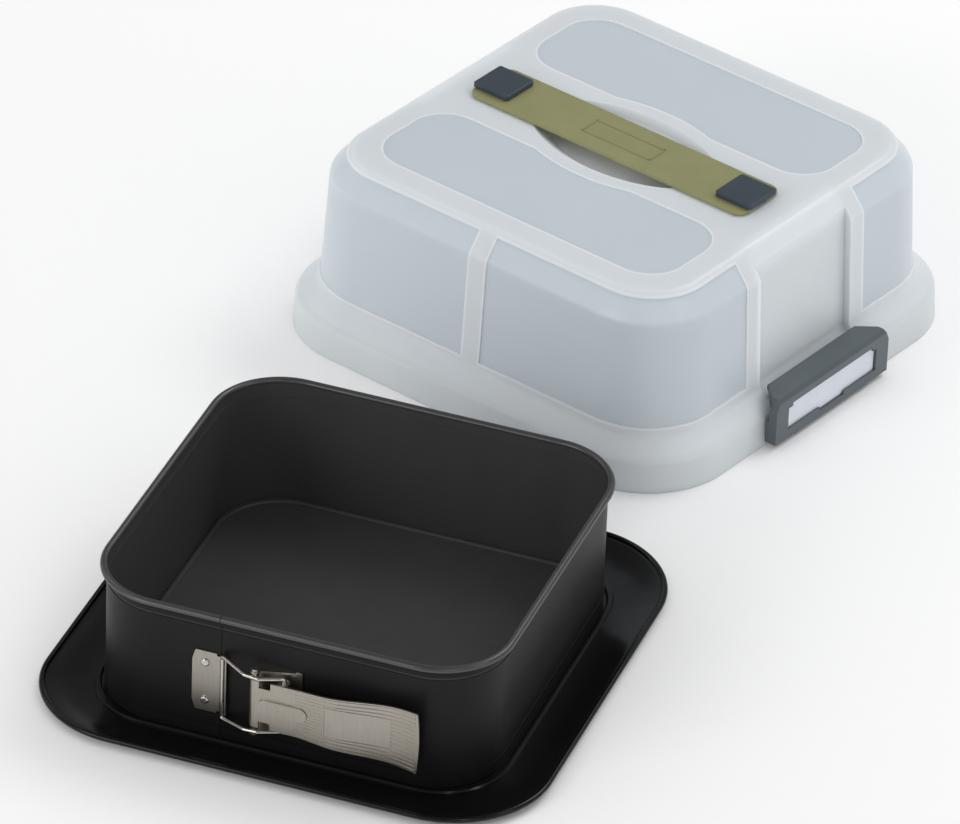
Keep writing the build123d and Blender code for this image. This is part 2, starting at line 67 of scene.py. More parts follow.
# Metres to the pan's middle, and where that middle lies in the picture, in pixels.
ORIGIN_DEPTH = 4.94068
ORIGIN_U = 356.19
ORIGIN_V = 640.88
FOCAL_PIXELS = 8522.48
FRAME_WIDTH = 960
FRAME_HEIGHT = 824
SENSOR_WIDTH = 36.0
FARTHEST_SEEN = 50.0


def aim_camera():
    """Long-lens camera that sees the pan's origin at its place in the picture."""
    back = Vector((
        math.sin(AZIMUTH) * math.cos(ELEVATION),
        -math.cos(AZIMUTH) * math.cos(ELEVATION),
        math.sin(ELEVATION),
    ))
    forward = -back
    level = forward.cross(Vector((0, 0, 1))).normalized()
    upright = level.cross(forward)
    right = math.cos(ROLL) * level + math.sin(ROLL) * upright
    up = -math.sin(ROLL) * level + math.cos(ROLL) * upright
    across = (ORIGIN_U - FRAME_WIDTH / 2) / FOCAL_PIXELS
    down = (ORIGIN_V - FRAME_HEIGHT / 2) / FOCAL_PIXELS
    eye = -ORIGIN_DEPTH * (forward + right * across - up * down)
    lens = bpy.data.cameras.new("camera")
    lens.sensor_width = SENSOR_WIDTH
    lens.lens = FOCAL_PIXELS * SENSOR_WIDTH / FRAME_WIDTH
    lens.clip_end = FARTHEST_SEEN
    holder = bpy.data.objects.new("camera", lens)
    bpy.context.scene.collection.objects.link(holder)
    turn = Matrix((right, up, back)).transposed().to_4x4()
    holder.matrix_world = Matrix.Translation(eye) @ turn
    bpy.context.scene.camera = holder
    return holder


camera = aim_camera()
print("lens", round(camera.data.lens, 1), "mm")

# %% [markdown]
# ## Small helpers for materials
# A finish is a tree of nodes. It could be laid out by hand in the shader editor, but a script can be read
# and run again. The first two helpers add a node with its settings, and give a socket either a link or a
# plain value, so that no later cell needs to tell the two apart.

# %% Nodes and sockets
def add_node(tree, kind, **settings):
    """Node of the given kind, with its settings."""
    node = tree.nodes.new(kind)
    for key, value in settings.items():
        setattr(node, key, value)
    return node


def feed(tree, value, socket):
    """Give a socket a link or a plain value."""
    if isinstance(value, bpy.types.NodeSocket):
        tree.links.new(value, socket)
    elif isinstance(value, tuple) and len(value) == 3 and socket.type == "RGBA":
        socket.default_value = (*value, 1.0)
    else:
        socket.default_value = value


print("helpers for nodes and sockets are ready")

# %% [markdown]
# ## Sums, steps and blends
# Masks are sums over places, and colours are blends by a mask. A smooth step is used where one finish
# meets another, because a hard switch would show jagged pixels along the border.

# %% Values and colours
# A Mix node lists its colour sockets after those for numbers and vectors.
MIX_FIRST = 6
MIX_SECOND = 7
MIX_RESULT = 2


def maths(tree, operation, first, second=0.0, third=0.0):
    """Output of a Math node."""
    node = add_node(tree, "ShaderNodeMath", operation=operation)
    for index, value in enumerate((first, second, third)):
        feed(tree, value, node.inputs[index])
    return node.outputs[0]


def ramp(tree, value, low, high, out_low=0.0, out_high=1.0):
    """Smooth step of a value between two limits."""
    node = add_node(tree, "ShaderNodeMapRange", interpolation_type="SMOOTHSTEP")
    for name, number in (
        ("Value", value), ("From Min", low), ("From Max", high), ("To Min", out_low), ("To Max", out_high),
    ):
        feed(tree, number, node.inputs[name])
    return node.outputs["Result"]


def mixed(tree, share, first, second):
    """Colour between two colours."""
    node = add_node(tree, "ShaderNodeMix", data_type="RGBA")
    feed(tree, share, node.inputs["Factor"])
    feed(tree, first, node.inputs[MIX_FIRST])
    feed(tree, second, node.inputs[MIX_SECOND])
    return node.outputs[MIX_RESULT]


def corner_reach(tree, over_x, over_y):
    """Distance outwards from the centre of a rounded corner, zero on its inner sides."""
    parts = [
        maths(tree, "POWER", maths(tree, "MAXIMUM", over, 0.0), 2.0) for over in (over_x, over_y)
    ]
    return maths(tree, "SQRT", maths(tree, "ADD", *parts))


def oval_ratio(tree, across, along, half_length, half_width):
    """One on an oval's line, less inside it and more outside."""
    parts = [
        maths(tree, "POWER", maths(tree, "DIVIDE", value, half), 2.0)
        for value, half in ((across, half_length), (along, half_width))
    ]
    return maths(tree, "SQRT", maths(tree, "ADD", *parts))


print("helpers for values and colours are ready")

# %% [markdown]
# ## Patterns and groups
# Most unevenness of a made surface is a noise that is stretched one way. Where several finishes share an
# effect, its nodes go into a group with named sockets, which is built once and placed in each finish.

# %% Noise, stretching and group sockets
def noise(tree, place, scale, detail=3.0, roughness=0.5):
    """Noise value at a place."""
    node = add_node(tree, "ShaderNodeTexNoise")
    feed(tree, place, node.inputs["Vector"])
    node.inputs["Scale"].default_value = scale
    node.inputs["Detail"].default_value = detail
    node.inputs["Roughness"].default_value = roughness
    return node.outputs["Fac"]


def stretched(tree, place, scale, turn=(0.0, 0.0, 0.0)):
    """Place scaled and turned by a Mapping node."""
    node = add_node(tree, "ShaderNodeMapping")
    feed(tree, place, node.inputs["Vector"])
    node.inputs["Scale"].default_value = scale
    node.inputs["Rotation"].default_value = turn
    return node.outputs["Vector"]


def group_socket(tree, name, kind, direction, value=None):
    """Named input or output of a node group."""
    socket = tree.interface.new_socket(name=name, in_out=direction, socket_type=kind)
    if value is not None:
        socket.default_value = value


def place_group(tree, group, **values):
    """Group node in a tree, with its inputs set."""
    node = add_node(tree, "ShaderNodeGroup", node_tree=group)
    for name, value in values.items():
        feed(tree, value, node.inputs[name.replace("_", " ")])
    return node


print("helpers for patterns and groups are ready")

# %% [markdown]
# ## Grain of coated and moulded surfaces
# A coating dries with a fine orange peel, and a mould is eroded to a fine texture. Both are far smaller
# than any mesh face, so they are a height for bump and not geometry. Two noises of different size look
# less regular than one.

# %% The grain group
GRAIN_DETAIL = 2.0
FINE_SHARE = 0.6


def make_grain():
    """Fine surface grain: a height from two noises of different size."""
    tree = bpy.data.node_groups.new("surface_grain", "ShaderNodeTree")
    group_socket(tree, "Vector", "NodeSocketVector", "INPUT")
    group_socket(tree, "Fine Scale", "NodeSocketFloat", "INPUT", 1800.0)
    group_socket(tree, "Coarse Scale", "NodeSocketFloat", "INPUT", 260.0)
    group_socket(tree, "Height", "NodeSocketFloat", "OUTPUT")
    entry = add_node(tree, "NodeGroupInput")
    leave = add_node(tree, "NodeGroupOutput")
    heights = []
    for name in ("Fine Scale", "Coarse Scale"):
        texture = add_node(tree, "ShaderNodeTexNoise")
        tree.links.new(entry.outputs["Vector"], texture.inputs["Vector"])
        tree.links.new(entry.outputs[name], texture.inputs["Scale"])
        texture.inputs["Detail"].default_value = GRAIN_DETAIL
        heights.append(texture.outputs["Fac"])
    height = maths(tree, "MULTIPLY_ADD", heights[0], FINE_SHARE, heights[1])
    tree.links.new(height, leave.inputs["Height"])
    return tree


surface_grain = make_grain()
print("group:", surface_grain.name, len(surface_grain.nodes), "nodes")

# %% [markdown]
# ## Marks of handling
# Hands and cloths leave faint patches that change the gloss and hardly the colour. A painted mask would
# need a UV map on every piece. Broad patches and upright streaks of noise do the same on any piece.

# %% The handling group
PATCH_SCALE = 14.0
PATCH_DETAIL = 4.0
PATCH_ROUGHNESS = 0.6
PATCH_SHARE = 0.7
STREAK_DETAIL = 2.0
STREAK_STRETCH = (60.0, 60.0, 6.0)
STREAK_SHARE = 0.3
NOISE_MIDDLE = 0.5


def make_handling():
    """Slow changes of gloss from handling and wiping, round a middle value."""
    tree = bpy.data.node_groups.new("handling_marks", "ShaderNodeTree")
    group_socket(tree, "Vector", "NodeSocketVector", "INPUT")
    group_socket(tree, "Middle", "NodeSocketFloat", "INPUT", 0.4)
    group_socket(tree, "Spread", "NodeSocketFloat", "INPUT", 0.08)
    group_socket(tree, "Roughness", "NodeSocketFloat", "OUTPUT")
    group_socket(tree, "Mask", "NodeSocketFloat", "OUTPUT")
    entry = add_node(tree, "NodeGroupInput")
    leave = add_node(tree, "NodeGroupOutput")
    patches = noise(tree, entry.outputs["Vector"], PATCH_SCALE, PATCH_DETAIL, PATCH_ROUGHNESS)
    upright = stretched(tree, entry.outputs["Vector"], STREAK_STRETCH)
    streaks = noise(tree, upright, 1.0, STREAK_DETAIL)
    faint = maths(tree, "MULTIPLY", streaks, STREAK_SHARE)
    both = maths(tree, "MULTIPLY_ADD", patches, PATCH_SHARE, faint)
    centred = maths(tree, "SUBTRACT", both, NOISE_MIDDLE)
    gloss = maths(tree, "MULTIPLY_ADD", centred, entry.outputs["Spread"], entry.outputs["Middle"])
    tree.links.new(gloss, leave.inputs["Roughness"])
    tree.links.new(both, leave.inputs["Mask"])
    return tree


handling_marks = make_handling()
print("group:", handling_marks.name, len(handling_marks.nodes), "nodes")

# %% [markdown]
# ## What every finish starts with
# Each finish is one Principled shader that reads Object coordinates. All finished pieces sit at the
# origin, so these coordinates are metres in the frame, and a pattern doesn't slide when a piece moves.
# The roughness of a finish is a level that may change over the piece, plus the marks of handling.

# %% Start of a material
GRAIN_DEPTH = 0.0002


def new_material(name):
    """Material with its tree, shader and object coordinates."""
    material = bpy.data.materials.new(name)
    material.use_nodes = True
    tree = material.node_tree
    shader = tree.nodes["Principled BSDF"]
    place = add_node(tree, "ShaderNodeTexCoord").outputs["Object"]
    return material, tree, shader, place


def add_bump(tree, shader, height, strength, distance=GRAIN_DEPTH):
    """Bump from a height into the shader's normal."""
    bump = add_node(tree, "ShaderNodeBump")
    bump.inputs["Strength"].default_value = strength
    bump.inputs["Distance"].default_value = distance
    feed(tree, height, bump.inputs["Height"])
    tree.links.new(bump.outputs["Normal"], shader.inputs["Normal"])


def add_grain(tree, shader, place, scales, strength):
    """Bump from the surface grain, with its fine and its coarse scale."""
    grain = place_group(tree, surface_grain, Vector=place, Fine_Scale=scales[0], Coarse_Scale=scales[1])
    add_bump(tree, shader, grain.outputs["Height"], strength)


def add_gloss(tree, shader, place, level, spread):
    """Roughness from a level and the marks of handling, which are returned."""
    marks = place_group(tree, handling_marks, Vector=place, Middle=0.0, Spread=spread)
    roughness = maths(tree, "ADD", level, marks.outputs["Roughness"])
    tree.links.new(roughness, shader.inputs["Roughness"])
    return marks


def wear(node_name, material):
    """Give a CAD node its finish."""
    mesh = nodes[node_name].data
    mesh.materials.clear()
    mesh.materials.append(material)


print("helpers for materials are ready")

# %% [markdown]
# ## Inside and outside of the pan
# The hoop's inside is painted a lighter charcoal than its black outside, partly as painted sheen for the
# light the inside catches, and the two lie only a sheet's thickness apart. Faces could be sorted by their
# normals, but the rolled rim turns them all round. A distance outwards in the plan tells the two sides
# apart everywhere: the plan is a rounded square, so it is measured as one.

# %% Distance outwards in the plan
HOOP_INSIDE = 0.120
HOOP_CORNER = 0.040


def plan_distance(tree, place):
    """Distance outwards from the hoop's inner face in plan, and the height."""
    axes = add_node(tree, "ShaderNodeSeparateXYZ")
    tree.links.new(place, axes.inputs[0])
    sides = [maths(tree, "ABSOLUTE", axes.outputs[name]) for name in ("X", "Y")]
    over = [maths(tree, "SUBTRACT", side, HOOP_INSIDE - HOOP_CORNER) for side in sides]
    reach = corner_reach(tree, *over)
    flat_part = maths(tree, "MINIMUM", maths(tree, "MAXIMUM", *over), 0.0)
    outwards = maths(tree, "SUBTRACT", maths(tree, "ADD", reach, flat_part), HOOP_CORNER)
    return outwards, axes.outputs["Z"]


print("inner face", HOOP_INSIDE, "m from the middle, corner radius", HOOP_CORNER, "m")

# %% [markdown]
# ## Coating of the hoop
# The hoop's inside has a non-stick coating with a satin sheen, painted a lighter charcoal than the deeper
# black outside; the lighter colour is partly painted sheen, for the light that the inside catches.
# The rolled rim is painted lighter still, partly as rubbed wear where the steel starts to show and partly
# as a painted highlight along the bead.
# Each is a pair of colours that a fine fleck and the handling marks blend, because one flat black looks
# like a hole.

# %% Hoop coating
HOOP_SHEET = 0.0008
RIM_START = 0.0826
RIM_FADE = 0.0006
RIM_METAL = 0.7
FLECK_SCALE = 900.0
OUTER_BLACK = ((0.003, 0.003, 0.0034), (0.01, 0.0096, 0.0104))
# The inner charcoal is lighter than the outer black partly as painted sheen, for the light that the inside
# catches.
INNER_CHARCOAL_PAINTED_SHEEN = ((0.034, 0.034, 0.035), (0.062, 0.061, 0.063))
# The rim's lighter colour is partly rubbed wear and partly a painted highlight along the bead.
RUBBED_RIM_PAINTED_HIGHLIGHT = ((0.07, 0.07, 0.07), (0.12, 0.12, 0.12))
FLECK_DETAIL = 2.0
# Parts of the sheet's thickness between which the inner colour gives way to the outer one.
SHEET_FADE = (0.3, 0.7)
COATING_ROUGHNESS = 0.46
RIM_ROUGHNESS = 0.35
COATING_SPREAD = 0.14
COATING_SHINE = 0.22
COATING_GRAIN = (2400.0, 500.0)
COATING_BUMP = 0.12


def make_hoop_coating():
    """Charcoal inside, partly painted sheen, black outside, and a rim that is partly rubbed wear and partly
    a painted highlight.
    """
    material, tree, shader, place = new_material("hoop_coating")
    outwards, height = plan_distance(tree, place)
    fade_start, fade_end = [HOOP_SHEET * part for part in SHEET_FADE]
    inside = ramp(tree, outwards, fade_start, fade_end, 1.0, 0.0)
    rim = ramp(tree, height, RIM_START, RIM_START + RIM_FADE)
    level = ramp(tree, rim, 0.0, 1.0, COATING_ROUGHNESS, RIM_ROUGHNESS)
    marks = add_gloss(tree, shader, place, level, COATING_SPREAD)
    half_marks = maths(tree, "MULTIPLY", marks.outputs["Mask"], 0.5)
    fleck = noise(tree, place, FLECK_SCALE, FLECK_DETAIL)
    share = maths(tree, "MULTIPLY_ADD", fleck, 0.5, half_marks)
    # Painted sheen: the inside takes the lighter charcoal.
    sheet = mixed(tree, inside, mixed(tree, share, *OUTER_BLACK), mixed(tree, share, *INNER_CHARCOAL_PAINTED_SHEEN))
    # The rim takes the lighter colour of rubbed wear and painted highlight.
    tree.links.new(mixed(tree, rim, sheet, mixed(tree, share, *RUBBED_RIM_PAINTED_HIGHLIGHT)), shader.inputs["Base Color"])
    tree.links.new(maths(tree, "MULTIPLY", rim, RIM_METAL), shader.inputs["Metallic"])
    shader.inputs["Specular IOR Level"].default_value = COATING_SHINE
    add_grain(tree, shader, place, COATING_GRAIN, COATING_BUMP)
    return material


hoop_coating = make_hoop_coating()
wear("hoop_shell", hoop_coating)
print("finish:", hoop_coating.name)

# %% [markdown]
# ## Finish of the tray
# Inside the hoop the tray's floor is coated like the hoop, in satin charcoal, which is painted lighter than
# the flange partly as painted sheen, for the soft light the satin floor catches. Outside it the wide flange
# is a smooth deep black that mirrors a little. The same distance in the plan draws the border between the
# two, under the hoop's wall, where it can't be seen.

# %% Tray finish
FLOOR_FADE = 0.001
FLANGE_BLACK = ((0.0028, 0.0028, 0.003), (0.005, 0.005, 0.0052))
# The floor's charcoal is lighter than the flange partly as painted sheen, for the light the satin floor
# catches.
FLOOR_CHARCOAL_PAINTED_SHEEN = ((0.042, 0.040, 0.042), (0.064, 0.061, 0.064))
FLANGE_ROUGHNESS = 0.2
FLOOR_ROUGHNESS = 0.44
TRAY_SPREAD = 0.1
TRAY_SHINE = 0.28
TRAY_GRAIN = (1500.0, 160.0)
TRAY_BUMP = 0.05


def make_tray_finish():
    """Satin floor inside the hoop, its colour partly painted sheen, and a smooth black flange round it."""
    material, tree, shader, place = new_material("tray_finish")
    outwards = plan_distance(tree, place)[0]
    inside = ramp(tree, outwards, -FLOOR_FADE, FLOOR_FADE, 1.0, 0.0)
    level = ramp(tree, inside, 0.0, 1.0, FLANGE_ROUGHNESS, FLOOR_ROUGHNESS)
    marks = add_gloss(tree, shader, place, level, TRAY_SPREAD)
    black = mixed(tree, marks.outputs["Mask"], *FLANGE_BLACK)
    # Painted sheen: the floor takes the lighter charcoal.
    floor_charcoal_and_sheen = mixed(tree, marks.outputs["Mask"], *FLOOR_CHARCOAL_PAINTED_SHEEN)
    tree.links.new(mixed(tree, inside, black, floor_charcoal_and_sheen), shader.inputs["Base Color"])
    shader.inputs["Specular IOR Level"].default_value = TRAY_SHINE
    add_grain(tree, shader, place, TRAY_GRAIN, TRAY_BUMP)
    return material


tray_finish = make_tray_finish()
wear("base_plate", tray_finish)
print("finish:", tray_finish.name)

# %% [markdown]
# ## Bright metal
# The clasp is stamped from nickelled sheet with a brushed face, its rivets are plain domed steel, and the
# bail is drawn wire. All are metals, and differ in how the brushing runs and how warm they look. An
# anisotropic shader could draw the brushing too, but here a stretched noise draws it in the colour and the
# bump.

# %% Metals
LINE_DEPTH = 0.0001
LINE_DETAIL = 4.0
LINE_ROUGHNESS = 0.65
# The brushing runs along the axis with the smallest number.
BRUSHED_UPRIGHT = (1600.0, 1600.0, 90.0)
POLISHED = (500.0, 500.0, 500.0)
DRAWN_ALONG = (200.0, 900.0, 900.0)


def make_metal(name, dark, light, middle, spread, stretch, strength):
    """Metal with fine lines along the small axis of the stretch."""
    material, tree, shader, place = new_material(name)
    lines = noise(tree, stretched(tree, place, stretch), 1.0, LINE_DETAIL, LINE_ROUGHNESS)
    marks = place_group(tree, handling_marks, Vector=place, Middle=middle, Spread=spread)
    tree.links.new(marks.outputs["Roughness"], shader.inputs["Roughness"])
    tree.links.new(mixed(tree, lines, dark, light), shader.inputs["Base Color"])
    shader.inputs["Metallic"].default_value = 1.0
    add_bump(tree, shader, lines, strength, LINE_DEPTH)
    return material


clasp_steel = make_metal(
    "clasp_steel", (0.34, 0.315, 0.275), (0.52, 0.485, 0.435), 0.34, 0.08, BRUSHED_UPRIGHT, 0.1
)
rivet_steel = make_metal(
    "rivet_steel", (0.55, 0.55, 0.54), (0.72, 0.72, 0.71), 0.22, 0.06, POLISHED, 0.05
)
wire_steel = make_metal(
    "wire_steel", (0.5, 0.47, 0.42), (0.7, 0.67, 0.62), 0.2, 0.06, DRAWN_ALONG, 0.08
)
for node_name in ("catch_plate", "clasp_bracket", "clasp_lever"):
    wear(node_name, clasp_steel)
for node_name in ("catch_rivets", "bracket_rivets", "fulcrum_pin"):
    wear(node_name, rivet_steel)
wear("bail_wire", wire_steel)
print("finishes:", clasp_steel.name, rivet_steel.name, wire_steel.name)

# %% [markdown]
# ## Moulded plastics and card
# The strap's caps are dark slate with a fine spark-eroded grain, and the latches a slightly lighter, greyer
# slate. The strap is a softer olive plastic. The label cards are plain paper, which the same recipe gives
# with a high roughness and a little fibre.

# %% Slate, olive and card
MOTTLE_SCALE = 55.0
MOTTLE_DETAIL = 4.0
MOTTLE_ROUGHNESS = 0.6
MOULDED_SPREAD = 0.12
GRAIN_STEP = 6


def make_moulded(name, dark, light, middle, fine, strength):
    """Moulded plastic with a fine grain and a faint mottle."""
    material, tree, shader, place = new_material(name)
    mottle = noise(tree, place, MOTTLE_SCALE, MOTTLE_DETAIL, MOTTLE_ROUGHNESS)
    tree.links.new(mixed(tree, mottle, dark, light), shader.inputs["Base Color"])
    marks = place_group(tree, handling_marks, Vector=place, Middle=middle, Spread=MOULDED_SPREAD)
    tree.links.new(marks.outputs["Roughness"], shader.inputs["Roughness"])
    add_grain(tree, shader, place, (fine, fine / GRAIN_STEP), strength)
    return material


slate_plastic = make_moulded(
    "slate_plastic", (0.028, 0.043, 0.059), (0.04, 0.057, 0.076), 0.42, 2200.0, 0.18
)
olive_plastic = make_moulded(
    "olive_plastic", (0.215, 0.215, 0.092), (0.28, 0.28, 0.13), 0.4, 1400.0, 0.3
)
card_paper = make_moulded(
    "card_paper", (0.64, 0.67, 0.74), (0.71, 0.74, 0.80), 0.7, 1600.0, 0.12
)
latch_plastic = make_moulded(
    "latch_plastic", (0.07, 0.088, 0.1), (0.093, 0.113, 0.126), 0.4, 2200.0, 0.18
)
for node_name in ("strap_cap_left", "strap_cap_right"):
    wear(node_name, slate_plastic)
for node_name in ("latch_left", "latch_right"):
    wear(node_name, latch_plastic)
for node_name in ("label_card_left", "label_card_right"):
    wear(node_name, card_paper)
print("finishes:", slate_plastic.name, olive_plastic.name, card_paper.name, latch_plastic.name)

# %% [markdown]
# ## The hood's own directions
# The cover stands turned beside the pan, but its panels and ribs run along its own sides. Its colours are
# therefore measured from the hood's centre and turned back. The same turn later gives the strap its place.

# %% Turn places to the hood
HOOD_CENTRE = (0.020, 0.390, 0.0)
HOOD_TURN = math.radians(-18.5)
hood_frame = Matrix.Translation(HOOD_CENTRE) @ Matrix.Rotation(HOOD_TURN, 4, "Z")


def hood_place(tree, place):
    """Coordinates measured from the hood's centre, along its own sides."""
    moved = add_node(tree, "ShaderNodeVectorMath", operation="SUBTRACT")
    tree.links.new(place, moved.inputs[0])
    moved.inputs[1].default_value = HOOD_CENTRE
    return stretched(tree, moved.outputs[0], (1.0, 1.0, 1.0), (0.0, 0.0, -HOOD_TURN))


print("hood turned by", round(math.degrees(HOOD_TURN), 1), "degrees")

# %% [markdown]
# ## Where the hood's panels are
# The hood's broad panels are moulded thinner than the ribs between them. The steps are in the mesh, and
# the colour has to follow them. Faces could be sorted by hand, but the panels are plain shapes: bands on
# the walls, and two rounded rectangles on the top that an oval bite for the fingers cuts. So a group
# measures them. Growing the panels a little and taking the difference later gives their pale outline.

# %% The panel group
MASK_FADE = 0.0003
PANEL_LOW = 0.036
PANEL_HIGH = 0.1185
MIDDLE_RIB = 0.007
SIDE_RIB_EDGE = 0.058
TOP_LEVEL = 0.1203
TOP_HALF_LENGTH = 0.111
TOP_HALF_WIDTH = 0.035
TOP_OFFSET = 0.075
TOP_CORNER = 0.024
# Half length and half width of the bite in the panels and of the trough in it, then a middle radius
# that turns the oval's ratio back into a distance.
BITE = (0.073, 0.046, 0.055)
TROUGH = (0.060, 0.031, 0.045)


def make_panel_mask():
    """One inside the clearer panels of the hood's walls and top, grown by a margin."""
    tree = bpy.data.node_groups.new("clear_panels", "ShaderNodeTree")
    group_socket(tree, "Vector", "NodeSocketVector", "INPUT")
    group_socket(tree, "Grow", "NodeSocketFloat", "INPUT", 0.0)
    group_socket(tree, "Mask", "NodeSocketFloat", "OUTPUT")
    group_socket(tree, "Trough", "NodeSocketFloat", "OUTPUT")
    entry = add_node(tree, "NodeGroupInput")
    leave = add_node(tree, "NodeGroupOutput")
    axes = add_node(tree, "ShaderNodeSeparateXYZ")
    tree.links.new(entry.outputs["Vector"], axes.inputs[0])
    across = maths(tree, "ABSOLUTE", axes.outputs["X"])
    along = maths(tree, "ABSOLUTE", axes.outputs["Y"])
    up = axes.outputs["Z"]

    def inside(first, second):
        """One where the first value is the larger, after the panels have grown."""
        margin = maths(tree, "ADD", maths(tree, "SUBTRACT", first, second), entry.outputs["Grow"])
        return ramp(tree, margin, -MASK_FADE, MASK_FADE)

    def all_of(masks):
        """Product of masks."""
        product = masks[0]
        for mask in masks[1:]:
            product = maths(tree, "MULTIPLY", product, mask)
        return product

    wall = all_of([
        inside(across, MIDDLE_RIB), inside(along, SIDE_RIB_EDGE),
        inside(up, PANEL_LOW), inside(PANEL_HIGH, up),
    ])
    over_x = maths(tree, "SUBTRACT", across, TOP_HALF_LENGTH - TOP_CORNER)
    from_panel = maths(tree, "ABSOLUTE", maths(tree, "SUBTRACT", along, TOP_OFFSET))
    over_y = maths(tree, "SUBTRACT", from_panel, TOP_HALF_WIDTH - TOP_CORNER)
    bite = maths(tree, "MULTIPLY", oval_ratio(tree, across, along, *BITE[:2]), BITE[2])
    top = all_of([
        inside(TOP_CORNER, corner_reach(tree, over_x, over_y)),
        inside(bite, BITE[2]), inside(up, TOP_LEVEL),
    ])
    trough = maths(tree, "MULTIPLY", oval_ratio(tree, across, along, *TROUGH[:2]), TROUGH[2])
    tree.links.new(inside(TROUGH[2], trough), leave.inputs["Trough"])
    tree.links.new(maths(tree, "MAXIMUM", wall, top), leave.inputs["Mask"])
    return tree


clear_panels = make_panel_mask()
print("group:", clear_panels.name, len(clear_panels.nodes), "nodes")

# %% [markdown]
# ## Frosted plastic of the hood
# The hood is thin, milky plastic. Panels look clearer and bluer, ribs whiter, the thick skirt greyer, and
# a pale line marks each step. Real transmission would show an empty, noisy inside, so the plastic scatters
# light below its surface instead, which gives the same soft, filled look. The trough under the strap is
# painted whiter: a painted light that stands in for the light reaching it from below and lifts the strap's
# shadow.

# %% Frosted hood
CLEAR_PANEL = ((0.60, 0.68, 0.755), (0.65, 0.725, 0.795))
WHITE_RIB = ((0.68, 0.73, 0.775), (0.72, 0.77, 0.81))
GREY_SKIRT = ((0.635, 0.68, 0.715), (0.675, 0.72, 0.75))
# Painted light in the trough: whiter to lift the strap's shadow, for the light that reaches it from below.
TROUGH_PAINTED_LIGHT = (0.86, 0.89, 0.92)
EDGE_WHITE = (0.88, 0.905, 0.92)
EDGE_WIDTH = 0.0013
EDGE_SHARE = 0.6
HAZE_SCALE = 9.0
HAZE_DETAIL = 2.0
SKIRT_TOP = 0.024
SKIRT_FADE = 0.004
RIB_ROUGHNESS = 0.38
PANEL_ROUGHNESS = 0.34
HOOD_SPREAD = 0.05
# Share of the light that scatters below the surface, and how far it gets, in metres.
SCATTER_SHARE = 0.4
SCATTER_DEPTH = 0.018
PLASTIC_IOR = 1.5
HOOD_GRAIN = (1600.0, 220.0)
HOOD_BUMP = 0.03


def make_frosted():
    """Milky plastic with clearer panels, whiter ribs and pale lines between them."""
    material, tree, shader, place = new_material("frosted_hood")
    own = hood_place(tree, place)
    areas = place_group(tree, clear_panels, Vector=own, Grow=0.0)
    panel = areas.outputs["Mask"]
    halo = place_group(tree, clear_panels, Vector=own, Grow=EDGE_WIDTH).outputs["Mask"]
    edge = maths(tree, "MULTIPLY", maths(tree, "SUBTRACT", halo, panel), EDGE_SHARE)
    haze = noise(tree, place, HAZE_SCALE, HAZE_DETAIL)
    axes = add_node(tree, "ShaderNodeSeparateXYZ")
    tree.links.new(place, axes.inputs[0])
    above_skirt = ramp(tree, axes.outputs["Z"], SKIRT_TOP - SKIRT_FADE, SKIRT_TOP)
    rib = mixed(tree, above_skirt, mixed(tree, haze, *GREY_SKIRT), mixed(tree, haze, *WHITE_RIB))
    body = mixed(tree, panel, rib, mixed(tree, haze, *CLEAR_PANEL))
    # Painted light: the trough under the strap takes a whiter colour.
    body = mixed(tree, areas.outputs["Trough"], body, TROUGH_PAINTED_LIGHT)
    tree.links.new(mixed(tree, edge, body, EDGE_WHITE), shader.inputs["Base Color"])
    level = ramp(tree, panel, 0.0, 1.0, RIB_ROUGHNESS, PANEL_ROUGHNESS)
    add_gloss(tree, shader, place, level, HOOD_SPREAD)
    shader.inputs["Subsurface Weight"].default_value = SCATTER_SHARE
    shader.inputs["Subsurface Radius"].default_value = (1.0, 1.0, 1.0)
    shader.inputs["Subsurface Scale"].default_value = SCATTER_DEPTH
    shader.inputs["IOR"].default_value = PLASTIC_IOR
    add_grain(tree, shader, place, HOOD_GRAIN, HOOD_BUMP)
    return material


frosted = make_frosted()
wear("cover_shell", frosted)
print("finish:", frosted.name)

# %% [markdown]
# ## White paper below
# The object stands on white paper. A plane is enough: it lies a hair below the tray's and the hood's
# lowest faces, so that no two surfaces share a place, and it keeps their soft shadows.

# %% Floor
FLOOR_SIZE = 14
FLOOR_GAP = 0.0002
PAPER_WHITE = ((0.94, 0.94, 0.94), (0.965, 0.965, 0.965))
PAPER_ROUGHNESS = 0.7
FIBRE_SCALE = 400.0
FIBRE_DETAIL = 2.0


def add_floor():
    """White paper under the object."""
    bpy.ops.object.select_all(action="DESELECT")
    bpy.ops.mesh.primitive_plane_add(size=FLOOR_SIZE, location=(0, 0, 0))
    floor = bpy.context.active_object
    floor.name = "floor"
    floor.data.transform(Matrix.Translation((0, 0, -FLOOR_GAP)))
    material, tree, shader, place = new_material("floor_paper")
    fibre = noise(tree, place, FIBRE_SCALE, FIBRE_DETAIL)
    tree.links.new(mixed(tree, fibre, *PAPER_WHITE), shader.inputs["Base Color"])
    shader.inputs["Roughness"].default_value = PAPER_ROUGHNESS
    floor.data.materials.append(material)
    return floor


floor_paper = add_floor()
print("floor", round(floor_paper.dimensions.x, 1), "m wide")

# %% [markdown]
# ## The light tent
# A white tent round the object gives even light without hard shadows. Many large lamps could do that, but
# the world background does it with one node tree. It is brighter near the horizon than overhead, which
# lights walls and tops almost alike. The camera sees it as plain white, and reflections see it dimmer, so
# that black coatings stay black.

# %% World
TENT_SIDE = 1.17
TENT_TOP = 0.6
TENT_MIRRORED = 0.3


